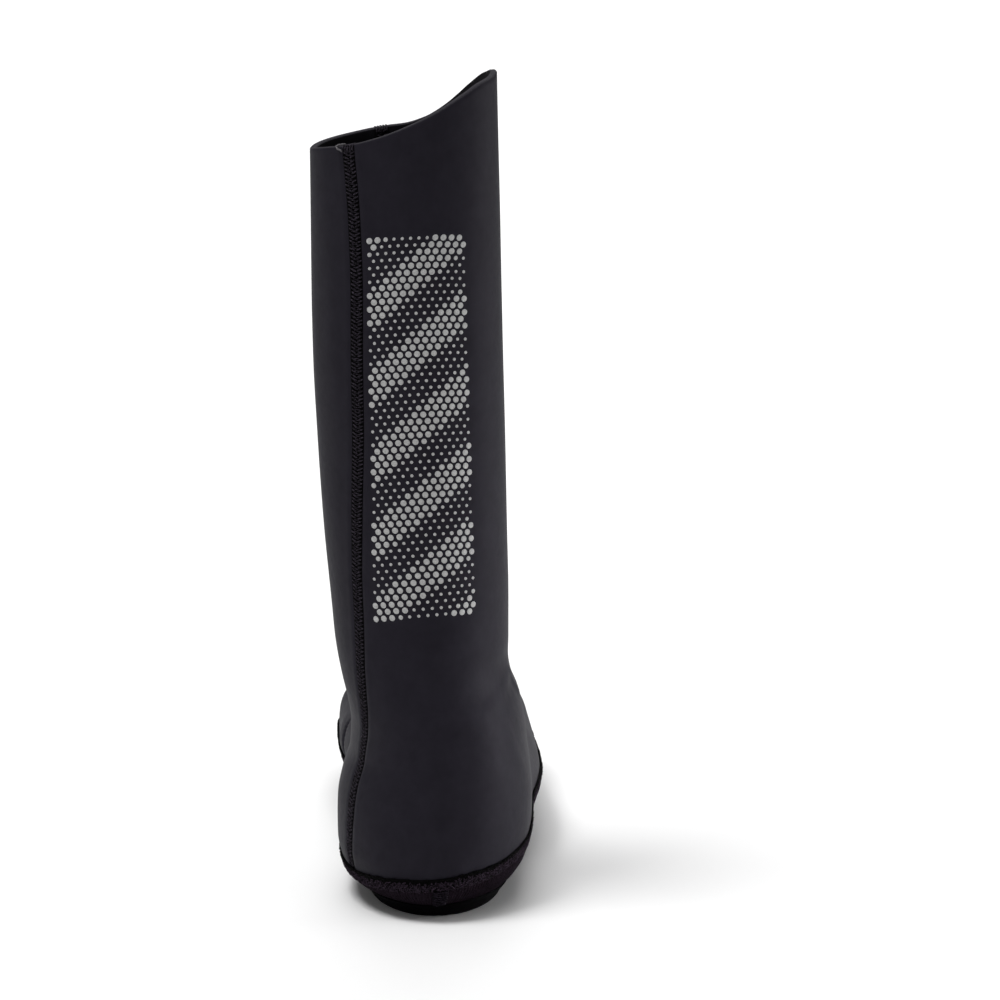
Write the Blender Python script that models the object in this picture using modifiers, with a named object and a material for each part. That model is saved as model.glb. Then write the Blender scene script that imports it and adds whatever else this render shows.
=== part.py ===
"""A tall neoprene overshoe for the right foot, as a maker sews it together.

A hollow neoprene upper stands on a textile sole that has an opening for the cleat. A bound edge covers
the joint between them, flat seams close the upper at the back and the front, and a rubber pad lies under
the heel. Tables and sizes are in millimetres, from the middle of the heel at floor level: +X is the
wearer's outer side, +Y points to the toe and +Z is up. Meshes are made in metres.
"""

import math

import bmesh
import bpy
import numpy as np

MM = 0.001
WELD = 1e-6
GAP = 0.3

# Driving sizes
LENGTH = 285.0
WALL = 3.0
SOLE_THICKNESS = 2.5
COLLAR_LEVEL = 352.0
END_RADIUS = 44.0
TOE_WIDTH_START = 228.0
TOE_WIDTH_POWER = 2.4
TOE_RISE_START = 258.0
TOE_RISE_POWER = 2.2
CROWN_STRIP = 0.05
HEEL_FADE_START = 70.0
HEEL_FADE_END = 12.0
SOLE_FILLET = 6.0
INSTEP_FILLET = 20.0
FILLET_GROWS = (45.0, 100.0)
LEAN_STARTS = (70.0, 115.0)
BINDING_HALF_HEIGHT = 3.0
BINDING_THICKNESS = 1.4
BINDING_GAP = 0.5
SEAM_WIDTH = 6.2
SEAM_EDGE = 0.5
SEAM_CROWN = 0.9
SEAM_RINGS = (0.5, 17.95)
HEEL_PAD_HALF_WIDTH = 30.0
HEEL_PAD_MIDDLE = -1.0
HEEL_PAD_BACK = 11.0
HEEL_PAD_WIDEST = 56.0
HEEL_PAD_FRONT = 80.0
HEEL_PAD_CORNER = 10.0
HEEL_PAD_THICKNESS = 4.6
HEEL_PAD_ROUNDING = 3.6
HEEL_PAD_ROUNDING_STEPS = 4
CLEAT_WIDTH = 46.0
CLEAT_LENGTH = 66.0
CLEAT_STATION = 188.0
CLEAT_CORNER = 14.0
CLEAT_CUT_DEPTH = 30.0

# Mesh density, and the search for the surface along a ray
SEGMENTS = 56
RING_ROWS = np.concatenate((np.arange(0.0, 11.0, 0.5), np.arange(11.0, 18.5, 1.0)))
SEARCH_REACH = 130.0
SEARCH_STEPS = 40


class Sections:
    """Rows of sizes along one measure, the first column, read between rows on a smooth monotone curve."""

    def __init__(self, columns, rows):
        self.columns = columns
        self.rows = np.array(rows, float)

    def read(self, name, at):
        measure = self.rows[:, 0]
        value = self.rows[:, self.columns.index(name)]
        step = np.diff(measure)
        slope = np.diff(value) / step
        tangent = np.zeros(len(value))
        same_sign = slope[:-1] * slope[1:] > 0
        both = np.where(same_sign, slope[:-1] + slope[1:], 1.0)
        tangent[1:-1] = np.where(same_sign, 2 * slope[:-1] * slope[1:] / both, 0.0)
        tangent[0], tangent[-1] = slope[0], slope[-1]
        at = np.clip(np.asarray(at, float), measure[0], measure[-1])
        i = np.clip(np.searchsorted(measure, at) - 1, 0, len(step) - 1)
        t = (at - measure[i]) / step[i]
        return (
            value[i] * (1 + 2 * t) * (1 - t) ** 2
            + tangent[i] * step[i] * t * (1 - t) ** 2
            + value[i + 1] * t**2 * (3 - 2 * t)
            + tangent[i + 1] * step[i] * t**2 * (t - 1)
        )


# Heel, ankle and shaft: level sections, egg-shaped round the widest place
SHAFT = Sections(
    ("height", "medial", "lateral", "back", "middle", "front", "edge"),
    (
        (0, -34.0, 30.0, 8.0, 57, 150, 1.95),
        (12, -40.6, 35.4, 3.0, 57, 150, 1.95),
        (19, -43.4, 38.8, 1.0, 57, 150, 1.97),
        (27, -44.9, 41.2, 0.0, 57, 150, 2.05),
        (36, -45.0, 42.2, 0.0, 57, 148, 2.1),
        (45, -44.8, 42.6, 0.8, 57, 145, 2.1),
        (56, -42.6, 41.8, 2.1, 57, 140, 2.1),
        (68, -38.4, 40.0, 3.8, 57, 133, 2.1),
        (78, -38.0, 38.8, 5.5, 58, 128, 2.1),
        (90, -40.0, 36.2, 7.5, 58, 122, 2.1),
        (100, -42.4, 32.8, 9.3, 58, 117, 2.05),
        (110, -44.4, 31.8, 11.0, 58, 112, 2.0),
        (118, -45.6, 32.0, 11.8, 58, 109, 2.0),
        (135, -47.1, 32.0, 13.0, 57, 104, 2.0),
        (171, -50.2, 31.3, 13.5, 54, 97, 2.0),
        (212, -52.6, 30.5, 12.5, 51, 91, 1.95),
        (248, -54.1, 29.6, 11.0, 48, 86, 1.9),
        (280, -54.5, 28.9, 10.0, 46, 82, 1.85),
        (316, -54.5, 28.2, 9.0, 43.5, 78, 1.8),
        (350, -54.6, 27.4, 8.5, 41.5, 74.5, 1.75),
        (380, -54.8, 26.8, 8.0, 41.0, 74.0, 1.75),
    ),
)

# Foot: upright sections across the last, with the crown of the instep and the widest height
FOOT = Sections(
    ("station", "medial", "lateral", "crown", "ridge", "widest", "round"),
    (
        (20, -34.0, 32.0, 0.0, 70.0, 30.0, 2.2),
        (60, -40.5, 39.5, -2.0, 95.0, 30.0, 1.95),
        (100, -38.0, 43.0, -5.0, 103.0, 30.0, 1.76),
        (125, -37.5, 46.0, -7.0, 97.0, 30.0, 1.56),
        (145, -39.5, 47.0, -8.0, 90.0, 30.0, 1.58),
        (165, -42.8, 46.4, -8.0, 81.0, 30.0, 1.6),
        (190, -47.4, 44.8, -8.0, 71.5, 30.0, 1.7),
        (214, -49.0, 42.8, -7.0, 63.5, 30.0, 2.0),
        (238, -49.6, 40.0, -6.5, 57.0, 31.0, 2.5),
        (262, -45.5, 36.5, -7.0, 52.0, 31.0, 2.5),
        (LENGTH, -40.0, 31.0, -8.0, 47.0, 32.0, 2.4),
    ),
)

# Rings from the lower edge of the upper to its collar: each lies on a sheet that rises from heel to front.
# The last two columns say how much of the joint's and the collar's own rise the ring takes on.
RINGS = Sections(
    ("ring", "back", "reach", "front", "bend", "joint", "collar"),
    (
        (0, 19, LENGTH, 28.0, 3.2, 1.0, 0.0),
        (1, 26, 284, 36.0, 2.6, 0.86, 0.0),
        (2, 34, 276, 44.0, 2.0, 0.68, 0.0),
        (3, 43, 258, 51.0, 1.6, 0.48, 0.0),
        (4, 53, 232, 58.5, 1.3, 0.28, 0.0),
        (5, 64, 204, 67.5, 1.1, 0.12, 0.0),
        (6, 76, 176, 78.5, 1.0, 0.0, 0.0),
        (7, 88, 150, 91.0, 1.0, 0.0, 0.0),
        (8, 100, 128, 105.0, 1.0, 0.0, 0.0),
        (9, 113, 114, 121.0, 1.0, 0.0, 0.0),
        (10, 130, 106, 139.0, 1.0, 0.0, 0.0),
        (11, 152, 101, 158.0, 1.0, 0.0, 0.0),
        (12, 178, 96, 181.0, 1.0, 0.0, 0.0),
        (13, 206, 92, 207.0, 1.0, 0.0, 0.0),
        (14, 236, 88, 236.0, 1.0, 0.0, 0.0),
        (15, 266, 84, 266.0, 1.0, 0.0, 0.0),
        (16, 296, 80, 296.0, 1.0, 0.0, 0.15),
        (17, 325, 77, 325.0, 1.0, 0.0, 0.5),
        (18, COLLAR_LEVEL, 74, COLLAR_LEVEL, 1.0, 0.0, 1.0),
    ),
)

# Rise of the joint of upper and sole above the lowest ring's sheet, by the turn in degrees
JOINT = Sections(
    ("turn", "rise"),
    (
        (-90, 0.0),
        (-70, -1.4),
        (-52, -3.2),
        (-42, -4.2),
        (-30, -3.2),
        (-15, -1.8),
        (0, -1.2),
        (20, 0.5),
        (33, 2.5),
        (45, 5.7),
        (55, 6.8),
        (70, 8.8),
        (90, 9.8),
        (103, 7.5),
        (120, 4.0),
        (160, 1.2),
        (180, 0.5),
        (225, 1.2),
        (244, 3.2),
        (258, 1.6),
        (270, 0.0),
    ),
)

# Height of the cut collar, by the turn in degrees from the back towards the outer side
COLLAR = Sections(
    ("turn", "height"),
    (
        (-90, 340.0),
        (-64, 343.0),
        (-43, 345.3),
        (-18, 349.5),
        (-4, 352.5),
        (11, 356.1),
        (27, 360.4),
        (41, 364.7),
        (52, 367.8),
        (64, 370.8),
        (80, 372.6),
        (90, 373.8),
        (96, 373.9),
        (103, 372.7),
        (110, 371.2),
        (125, 365.5),
        (135, 360.8),
        (145, 356.2),
        (155, 352.2),
        (165, 349.0),
        (180, 346.2),
        (195, 345.2),
        (225, 342.8),
        (270, 340.0),
    ),
)

# Underside of the sole along the foot: heel, arch, flat forefoot and toe spring
FLOOR = Sections(
    ("station", "height"),
    ((0, 4.9), (84, 4.9), (118, 7.2), (152, 0.0), (246, 0.0), (264, 3.2), (LENGTH, 11.0)),
)

# Side of the sole: how far it turns in, and the share of its height that is left
BILGE = Sections(
    ("inset", "share"),
    ((0.0, 1.0), (0.2, 0.82), (1.9, 0.58), (5.3, 0.32), (9.0, 0.12), (11.6, 0.0)),
)
SOLE_INNER_SHARES = (0.4, 0.75, 1.0)

# Paths of the two seams over the upper, as a turn in degrees at each ring
REAR_SEAM = Sections(
    ("ring", "turn"),
    (
        (0, -43.0),
        (3, -43.2),
        (4.6, -44.6),
        (5.7, -45.2),
        (7, -43.9),
        (8.6, -40.4),
        (10.6, -38.4),
        (12.2, -36.6),
        (13.8, -34.2),
        (15.2, -34.3),
        (16.6, -36.8),
        (18, -42.5),
    ),
)
FRONT_SEAM = Sections(
    ("ring", "turn"),
    ((0, 180), (4, 180), (8, 182), (12, 188), (15, 194), (18, 199)),
)

# Cross-section of the binding: height from the joint and the share of its full thickness
BINDING_PROFILE = ((-1.0, 0.25), (-0.7, 0.75), (0.0, 1.0), (0.7, 0.75), (1.0, 0.25))


def smoothstep(value, low, high):
    t = np.clip((value - low) / (high - low), 0.0, 1.0)
    return t * t * (3 - 2 * t)


def end_cap(station, start, end, power):
    """Share of a section's size that is left on the way from start to end, where the form closes."""
    t = np.clip((station - start) / (end - start), 0.0, 1.0)
    return np.maximum(1.0 - t**power, 1e-9) ** (1.0 / power)


def shaft_field(x, y, z):
    """Below zero inside the column of heel, ankle and shaft."""
    medial, lateral = SHAFT.read("medial", z), SHAFT.read("lateral", z)
    middle = SHAFT.read("middle", z)
    edge = SHAFT.read("edge", z)
    half_width = (lateral - medial) / 2
    depth = np.where(y < middle, middle - SHAFT.read("back", z), SHAFT.read("front", z) - middle)
    across = np.abs(x - (medial + lateral) / 2) / half_width
    along = np.abs(y - middle) / depth
    return (np.sqrt(across**2.0 + along**edge) - 1.0) * half_width


def foot_field(x, y, z):
    """Below zero inside the foot, from the heel to the toe."""
    crown, widest, power = FOOT.read("crown", y), FOOT.read("widest", y), FOOT.read("round", y)
    toe = end_cap(y, TOE_WIDTH_START, LENGTH, TOE_WIDTH_POWER)
    heel = end_cap(y, HEEL_FADE_START, HEEL_FADE_END, 2.0)
    outer_width, inner_width = FOOT.read("lateral", y) - crown, crown - FOOT.read("medial", y)
    half_width = np.where(x > crown, outer_width, inner_width)
    rise = (FOOT.read("ridge", y) - widest) * end_cap(y, TOE_RISE_START, LENGTH + 2.0, TOE_RISE_POWER)
    height = np.where(z > widest, rise, widest + 1.0)
    # Right over the crown counts as a little beside it, so that the form closes past the toe there too
    across = np.maximum(np.abs(x - crown), CROWN_STRIP) / (half_width * toe * heel)
    up = np.abs(z - widest) / height
    return ((across**power + up**power) ** (1.0 / power) - 1.0) * (outer_width + inner_width) / 2


def last_field(x, y, z):
    """Below zero inside the whole form: foot and shaft run into each other with a fillet at the instep."""
    foot, shaft = foot_field(x, y, z), shaft_field(x, y, z)
    fillet = SOLE_FILLET + (INSTEP_FILLET - SOLE_FILLET) * smoothstep(z, *FILLET_GROWS)
    share = np.maximum(fillet - np.abs(foot - shaft), 0.0) / fillet
    return np.minimum(foot, shaft) - share**2 * fillet / 4


def table_turn(turn):
    """A turn in degrees, in the range that the tables of collar and joint use."""
    return (np.degrees(turn) + 90.0) % 360.0 - 90.0


def middle_line(y, z):
    """Sideways place of the form's middle, from the foot's own curve to the lean of the shaft."""
    foot = (FOOT.read("medial", y) + FOOT.read("lateral", y)) / 2
    shaft = (SHAFT.read("medial", z) + SHAFT.read("lateral", z)) / 2
    return foot + (shaft - foot) * smoothstep(z, *LEAN_STARTS)


def ring_spine(ring, turn):
    """Where the ray for this turn starts, as x and y on the middle line, and the ring's sheet over y."""
    back, reach, front = (RINGS.read(name, ring) for name in ("back", "reach", "front"))
    bend = RINGS.read("bend", ring)
    lift = RINGS.read("collar", ring) * (COLLAR.read("height", table_turn(turn)) - COLLAR_LEVEL)
    lift = lift + RINGS.read("joint", ring) * JOINT.read("rise", table_turn(turn))

    def sheet(y):
        return back + (front - back) * np.clip(y / reach, 0.0, 1.2) ** bend + lift

    rear = SHAFT.read("back", back)
    half = (reach - rear) / 2
    y = (reach + rear) / 2 - np.maximum(half - END_RADIUS, 0.0) * np.cos(turn)
    return middle_line(y, sheet(y)), y, sheet


def upper_surface(ring, turn, rise=0.0):
    """Points on the outside of the last. The turn runs from the back round the outer side, in radians."""
    ring, turn = np.broadcast_arrays(np.asarray(ring, float), np.asarray(turn, float))
    x0, y0, sheet = ring_spine(ring, turn)
    near, far = np.zeros(turn.shape), np.full(turn.shape, SEARCH_REACH)
    for _ in range(SEARCH_STEPS):
        reach = (near + far) / 2
        x, y = x0 + reach * np.sin(turn), y0 - reach * np.cos(turn)
        inside = last_field(x, y, sheet(y) + rise) < 0
        near, far = np.where(inside, reach, near), np.where(inside, far, reach)
    return np.stack((x, y, sheet(y) + rise), axis=-1)


def upper_frame(ring, turn):
    """Points on the upper with their outward normals."""
    step = 0.02
    across = upper_surface(ring, turn + step) - upper_surface(ring, turn - step)
    along = upper_surface(ring + step, turn) - upper_surface(ring - step, turn)
    normal = np.cross(across, along)
    normal /= np.linalg.norm(normal, axis=-1, keepdims=True)
    return upper_surface(ring, turn), normal


def turns(count):
    return np.arange(count) * 2 * math.pi / count


def plan_normals(outline):
    """Outward normals, in plan, of a closed outline that runs anticlockwise."""
    tangent = np.roll(outline, -1, axis=0) - np.roll(outline, 1, axis=0)
    normal = np.stack((tangent[:, 1], -tangent[:, 0], np.zeros(len(tangent))), axis=-1)
    return normal / np.linalg.norm(normal, axis=-1, keepdims=True)


def sole_wall(outline, normal, drop):
    """The side of the sole at this many millimetres below its edge."""
    floor = FLOOR.read("height", outline[:, 1])
    share = 1.0 - drop / (outline[:, 2] - floor)
    order = BILGE.rows[::-1]
    inset = np.interp(share, order[:, 1], order[:, 0])
    return outline - normal * inset[:, None] - np.array((0.0, 0.0, drop))


def new_object(name, points, faces, material):
    """A smooth mesh object of these points in millimetres, with equal points welded."""
    mesh = bpy.data.meshes.new(name)
    mesh.from_pydata((np.asarray(points) * MM).tolist(), [], faces)
    edit = bmesh.new()
    edit.from_mesh(mesh)
    bmesh.ops.remove_doubles(edit, verts=edit.verts, dist=WELD)
    edit.to_mesh(mesh)
    edit.free()
    mesh.shade_smooth()
    mesh.materials.append(material)
    return bpy.data.objects.new(name, mesh)


def loft(rows, closed_rows=False, closed_columns=True):
    """Points and quads of a grid. Closed columns join the ends of each row, closed rows the end rows."""
    rows = np.asarray(rows)
    row_count, column_count = rows.shape[:2]
    faces = []
    for r in range(row_count if closed_rows else row_count - 1):
        for c in range(column_count if closed_columns else column_count - 1):
            r2, c2 = (r + 1) % row_count, (c + 1) % column_count
            faces.append(
                (r * column_count + c, r * column_count + c2, r2 * column_count + c2, r2 * column_count + c)
            )
    return rows.reshape(-1, 3), faces


def face_outwards(obj):
    edit = bmesh.new()
    edit.from_mesh(obj.data)
    bmesh.ops.recalc_face_normals(edit, faces=edit.faces)
    edit.to_mesh(obj.data)
    edit.free()
    return obj


def add_wall(obj, thickness):
    """Gives an open surface its wall, inwards."""
    solidify = obj.modifiers.new("wall", "SOLIDIFY")
    solidify.thickness = thickness * MM
    solidify.offset = -1.0
    solidify.use_even_offset = True


def material(name, colour, roughness):
    made = bpy.data.materials.new(name)
    made.use_nodes = True
    shader = made.node_tree.nodes["Principled BSDF"]
    shader.inputs["Base Color"].default_value = (*colour, 1.0)
    shader.inputs["Roughness"].default_value = roughness
    shader.inputs["Metallic"].default_value = 0.0
    return made


def build_upper(neoprene):
    """The hollow neoprene upper, open at the collar and underneath."""
    rows = upper_surface(RING_ROWS[:, None], turns(SEGMENTS)[None, :])
    upper = new_object("upper", *loft(rows), neoprene)
    add_wall(upper, WALL)
    return upper


def build_sole(textile, cutter):
    """The textile sole: a shallow tray with a turned-up side, flat at the forefoot and cut for the cleat."""
    turn = turns(SEGMENTS)
    edge, leaning = upper_frame(0.0, turn)
    edge[:, 2] -= GAP + WALL * np.maximum(leaning[:, 2], 0.0)
    normal = plan_normals(edge)
    floor = FLOOR.read("height", edge[:, 1])
    rows = []
    for inset, share in BILGE.rows:
        row = edge - normal * inset
        row[:, 2] = floor + (edge[:, 2] - floor) * share
        rows.append(row)
    x, y, _ = ring_spine(np.zeros(SEGMENTS), turn)
    spine = np.stack((x, y, FLOOR.read("height", y)), axis=-1)
    flat_edge = rows[-1].copy()
    for share in SOLE_INNER_SHARES:
        row = flat_edge + (spine - flat_edge) * share
        row[:, 2] = FLOOR.read("height", row[:, 1])
        rows.append(row)
    rows[len(BILGE.rows) - 1][:, 2] = FLOOR.read("height", flat_edge[:, 1])
    sole = new_object("sole", *loft(rows[::-1]), textile)
    add_wall(sole, SOLE_THICKNESS)
    cut = sole.modifiers.new("cleat_opening", "BOOLEAN")
    cut.operation = "DIFFERENCE"
    cut.object = cutter
    return sole


def build_binding(thread):
    """The raised overlocked edge that covers the joint of upper and sole, all round the foot."""
    turn = turns(SEGMENTS)
    joint = upper_surface(0.0, turn)
    normal = plan_normals(joint)

    def wall(height):
        if height >= 0:
            return upper_surface(0.0, turn, rise=height)
        return sole_wall(joint, normal, -height)

    inner, outer = [], []
    for height_share, thickness_share in BINDING_PROFILE:
        base = wall(height_share * BINDING_HALF_HEIGHT)
        inner.append(base + normal * BINDING_GAP)
        outer.append(base + normal * (BINDING_GAP + BINDING_THICKNESS * thickness_share))
    binding = new_object("sole_binding", *loft(inner + outer[::-1], closed_rows=True), thread)
    return face_outwards(binding)


def build_seam(name, path, thread):
    """A flat seam laid on the upper along a path, a little crowned across its width."""
    first, last = SEAM_RINGS
    ring = np.append(RING_ROWS[(RING_ROWS >= first) & (RING_ROWS < last)], last)
    row_count = len(ring)
    turn = np.radians(path.read("turn", ring))
    step = 0.01
    speed = np.linalg.norm(upper_surface(ring, turn + step) - upper_surface(ring, turn), axis=-1) / step
    columns = []
    for side, height in ((-1, SEAM_EDGE), (0, SEAM_CROWN), (1, SEAM_EDGE)):
        point, normal = upper_frame(ring, turn + side * SEAM_WIDTH / 2 / speed)
        columns.append((point + normal * GAP, point + normal * (GAP + height)))
    loop = [column[0] for column in columns] + [column[1] for column in columns[::-1]]
    points, faces = loft(loop, closed_rows=True, closed_columns=False)
    starts = [row * row_count for row in range(len(loop))]
    faces.append(tuple(starts))
    faces.append(tuple(start + row_count - 1 for start in reversed(starts)))
    return face_outwards(new_object(name, points, faces, thread))


def heel_pad_outline():
    """The pad's edge: half an ellipse round the back, then a straight front with round corners."""
    half, corner = HEEL_PAD_HALF_WIDTH, HEEL_PAD_CORNER
    outline = []
    for angle in np.linspace(math.pi, 2 * math.pi, 25):
        along = (HEEL_PAD_WIDEST - HEEL_PAD_BACK) * math.sin(angle)
        outline.append((half * math.cos(angle), HEEL_PAD_WIDEST + along))
    for side, start in ((1, 0.0), (-1, math.pi / 2)):
        for angle in start + np.linspace(0.0, math.pi / 2, 6):
            across = side * (half - corner) + corner * math.cos(angle)
            outline.append((across, HEEL_PAD_FRONT - corner + corner * math.sin(angle)))
    return outline


def build_heel_pad(rubber):
    """The rubber pad under the heel, with a rounded lower edge."""
    edit = bmesh.new()
    corners = [edit.verts.new(((x + HEEL_PAD_MIDDLE) * MM, y * MM, 0.0)) for x, y in heel_pad_outline()]
    base = edit.faces.new(corners)
    raised = bmesh.ops.extrude_face_region(edit, geom=[base])
    top = [item for item in raised["geom"] if isinstance(item, bmesh.types.BMVert)]
    bmesh.ops.translate(edit, verts=top, vec=(0.0, 0.0, HEEL_PAD_THICKNESS * MM))
    bmesh.ops.bevel(
        edit,
        geom=list(base.edges),
        offset=HEEL_PAD_ROUNDING * MM,
        segments=HEEL_PAD_ROUNDING_STEPS,
        profile=0.5,
        affect="EDGES",
    )
    bmesh.ops.recalc_face_normals(edit, faces=edit.faces)
    mesh = bpy.data.meshes.new("heel_pad")
    edit.to_mesh(mesh)
    edit.free()
    mesh.materials.append(rubber)
    return bpy.data.objects.new("heel_pad", mesh)


def build_cleat_cutter():
    """The opening for the cleat, as a block with round corners that passes right through the sole."""
    bpy.ops.mesh.primitive_cube_add(size=1.0)
    cutter = bpy.context.object
    cutter.name = "cleat_cutter"
    edit = bmesh.new()
    edit.from_mesh(cutter.data)
    size = (CLEAT_WIDTH * MM, CLEAT_LENGTH * MM, CLEAT_CUT_DEPTH * MM)
    bmesh.ops.scale(edit, verts=edit.verts, vec=size)
    upright = [edge for edge in edit.edges if abs(edge.verts[0].co.z - edge.verts[1].co.z) > MM]
    bmesh.ops.bevel(edit, geom=upright, offset=CLEAT_CORNER * MM, segments=5, profile=0.5, affect="EDGES")
    edit.to_mesh(cutter.data)
    edit.free()
    cutter.location = (0.0, CLEAT_STATION * MM, 0.0)
    cutter.hide_render = True
    cutter.display_type = "WIRE"
    return cutter


def stand_at_origin(parts, helpers):
    """Moves everything so that the part's box is centred on the origin in plan and stands on the floor."""
    corners = np.array([v.co for part in parts for v in part.data.vertices])
    low, high = corners.min(axis=0), corners.max(axis=0)
    shift = (-(low[0] + high[0]) / 2, -(low[1] + high[1]) / 2, -low[2])
    root = bpy.data.objects.new("overshoe", None)
    root.location = shift
    for obj in parts + helpers:
        obj.parent = root
    return root


def main():
    for obj in list(bpy.data.objects):
        bpy.data.objects.remove(obj)

    neoprene = material("smooth_skin_neoprene", (0.020, 0.019, 0.023), 0.5)
    textile = material("abrasion_textile", (0.012, 0.010, 0.011), 0.9)
    thread = material("black_thread", (0.010, 0.009, 0.010), 0.85)
    rubber = material("black_rubber", (0.008, 0.008, 0.009), 0.6)

    cutter = build_cleat_cutter()
    parts = [
        build_upper(neoprene),
        build_sole(textile, cutter),
        build_binding(thread),
        build_seam("rear_seam", REAR_SEAM, thread),
        build_seam("front_seam", FRONT_SEAM, thread),
        build_heel_pad(rubber),
    ]
    root = stand_at_origin(parts, [cutter])

    shown = bpy.data.collections.new("neoprene_overshoe")
    helpers = bpy.data.collections.new("cutters")
    bpy.context.scene.collection.children.link(shown)
    bpy.context.scene.collection.children.link(helpers)
    for obj in [root] + parts:
        shown.objects.link(obj)
    for owner in list(cutter.users_collection):
        owner.objects.unlink(cutter)
    helpers.objects.link(cutter)


main()
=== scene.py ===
"""The look of the neoprene overshoe: skin, lining, stitches, bound edge, sole, print, light and camera.

Tables and sizes are in millimetres in the shoe's own frame, from the middle of the heel at floor level:
+X is the wearer's outer side, +Y points to the toe and +Z is up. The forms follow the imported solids.
"""

import math
from collections import namedtuple

import bpy
import numpy as np
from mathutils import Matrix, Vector


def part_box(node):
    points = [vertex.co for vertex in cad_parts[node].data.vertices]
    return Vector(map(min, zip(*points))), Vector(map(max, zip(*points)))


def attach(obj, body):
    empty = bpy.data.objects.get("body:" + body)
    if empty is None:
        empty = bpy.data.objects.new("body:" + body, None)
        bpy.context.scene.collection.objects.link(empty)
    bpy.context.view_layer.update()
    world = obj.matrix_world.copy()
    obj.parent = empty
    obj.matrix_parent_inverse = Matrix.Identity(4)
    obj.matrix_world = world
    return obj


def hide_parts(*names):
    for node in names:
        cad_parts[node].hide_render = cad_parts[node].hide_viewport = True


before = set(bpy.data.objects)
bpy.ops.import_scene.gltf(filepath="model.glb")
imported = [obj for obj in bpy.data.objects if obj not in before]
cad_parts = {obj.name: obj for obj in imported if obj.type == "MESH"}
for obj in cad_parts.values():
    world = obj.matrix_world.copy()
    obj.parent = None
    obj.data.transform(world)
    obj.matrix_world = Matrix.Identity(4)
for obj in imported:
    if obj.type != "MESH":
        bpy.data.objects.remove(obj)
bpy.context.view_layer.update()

MM = 0.001
RANDOM_SEED = 7

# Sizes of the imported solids
LENGTH = 285.0
WALL = 3.0
SOLE_THICKNESS = 2.5
GAP = 0.3
COLLAR_LEVEL = 352.0
END_RADIUS = 44.0
TOE_WIDTH_START = 228.0
TOE_WIDTH_POWER = 2.4
TOE_RISE_START = 258.0
TOE_RISE_END = LENGTH + 2.0
TOE_RISE_POWER = 2.2
FOOT_BELOW_FLOOR = 1.0
HEEL_FADE_START = 70.0
HEEL_FADE_END = 12.0
HEEL_FADE_POWER = 2.0
SOLE_FILLET = 6.0
INSTEP_FILLET = 20.0
FILLET_GROWS = (45.0, 100.0)
LEAN_STARTS = (70.0, 115.0)
HEEL_PAD_HALF_WIDTH = 30.0
HEEL_PAD_MIDDLE = -1.0
HEEL_PAD_BACK = 11.0
HEEL_PAD_WIDEST = 56.0
HEEL_PAD_FRONT = 80.0
HEEL_PAD_CORNER = 10.0
HEEL_PAD_ROUNDING = 3.6
HEEL_PAD_LOWEST_CORNER = (HEEL_PAD_MIDDLE - HEEL_PAD_HALF_WIDTH, HEEL_PAD_BACK, 0.0)
CLEAT_WIDTH = 46.0
CLEAT_LENGTH = 66.0
CLEAT_MIDDLE = (0.0, 188.0)
CLEAT_CORNER = 14.0

# Reach and steps of searches, overrun of a ring's sheet, and small values that keep the form closed
SEARCH_REACH = 130.0
SEARCH_STEPS = 28
SHEET_OVERRUN = 1.2
CROWN_STRIP = 0.05
SMALLEST_SHARE = 1e-9


class Sections:
    """Rows of sizes along one measure, the first column, read between rows on a smooth monotone curve."""

    def __init__(self, columns, *rows):
        self.columns = columns
        self.rows = np.array(rows, float)

    def read(self, name, at):
        measure = self.rows[:, 0]
        value = self.rows[:, self.columns.index(name)]
        step = np.diff(measure)
        slope = np.diff(value) / step
        tangent = np.zeros(len(value))
        same_sign = slope[:-1] * slope[1:] > 0
        both = np.where(same_sign, slope[:-1] + slope[1:], 1.0)
        tangent[1:-1] = np.where(same_sign, 2 * slope[:-1] * slope[1:] / both, 0.0)
        tangent[0], tangent[-1] = slope[0], slope[-1]
        at = np.clip(np.asarray(at, float), measure[0], measure[-1])
        i = np.clip(np.searchsorted(measure, at) - 1, 0, len(step) - 1)
        t = (at - measure[i]) / step[i]
        return (
            value[i] * (1 + 2 * t) * (1 - t) ** 2
            + tangent[i] * step[i] * t * (1 - t) ** 2
            + value[i + 1] * t**2 * (3 - 2 * t)
            + tangent[i + 1] * step[i] * t**2 * (t - 1)
        )

    def read_all(self, at):
        """The sizes in every column but the first."""
        return [self.read(name, at) for name in self.columns[1:]]


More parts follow.
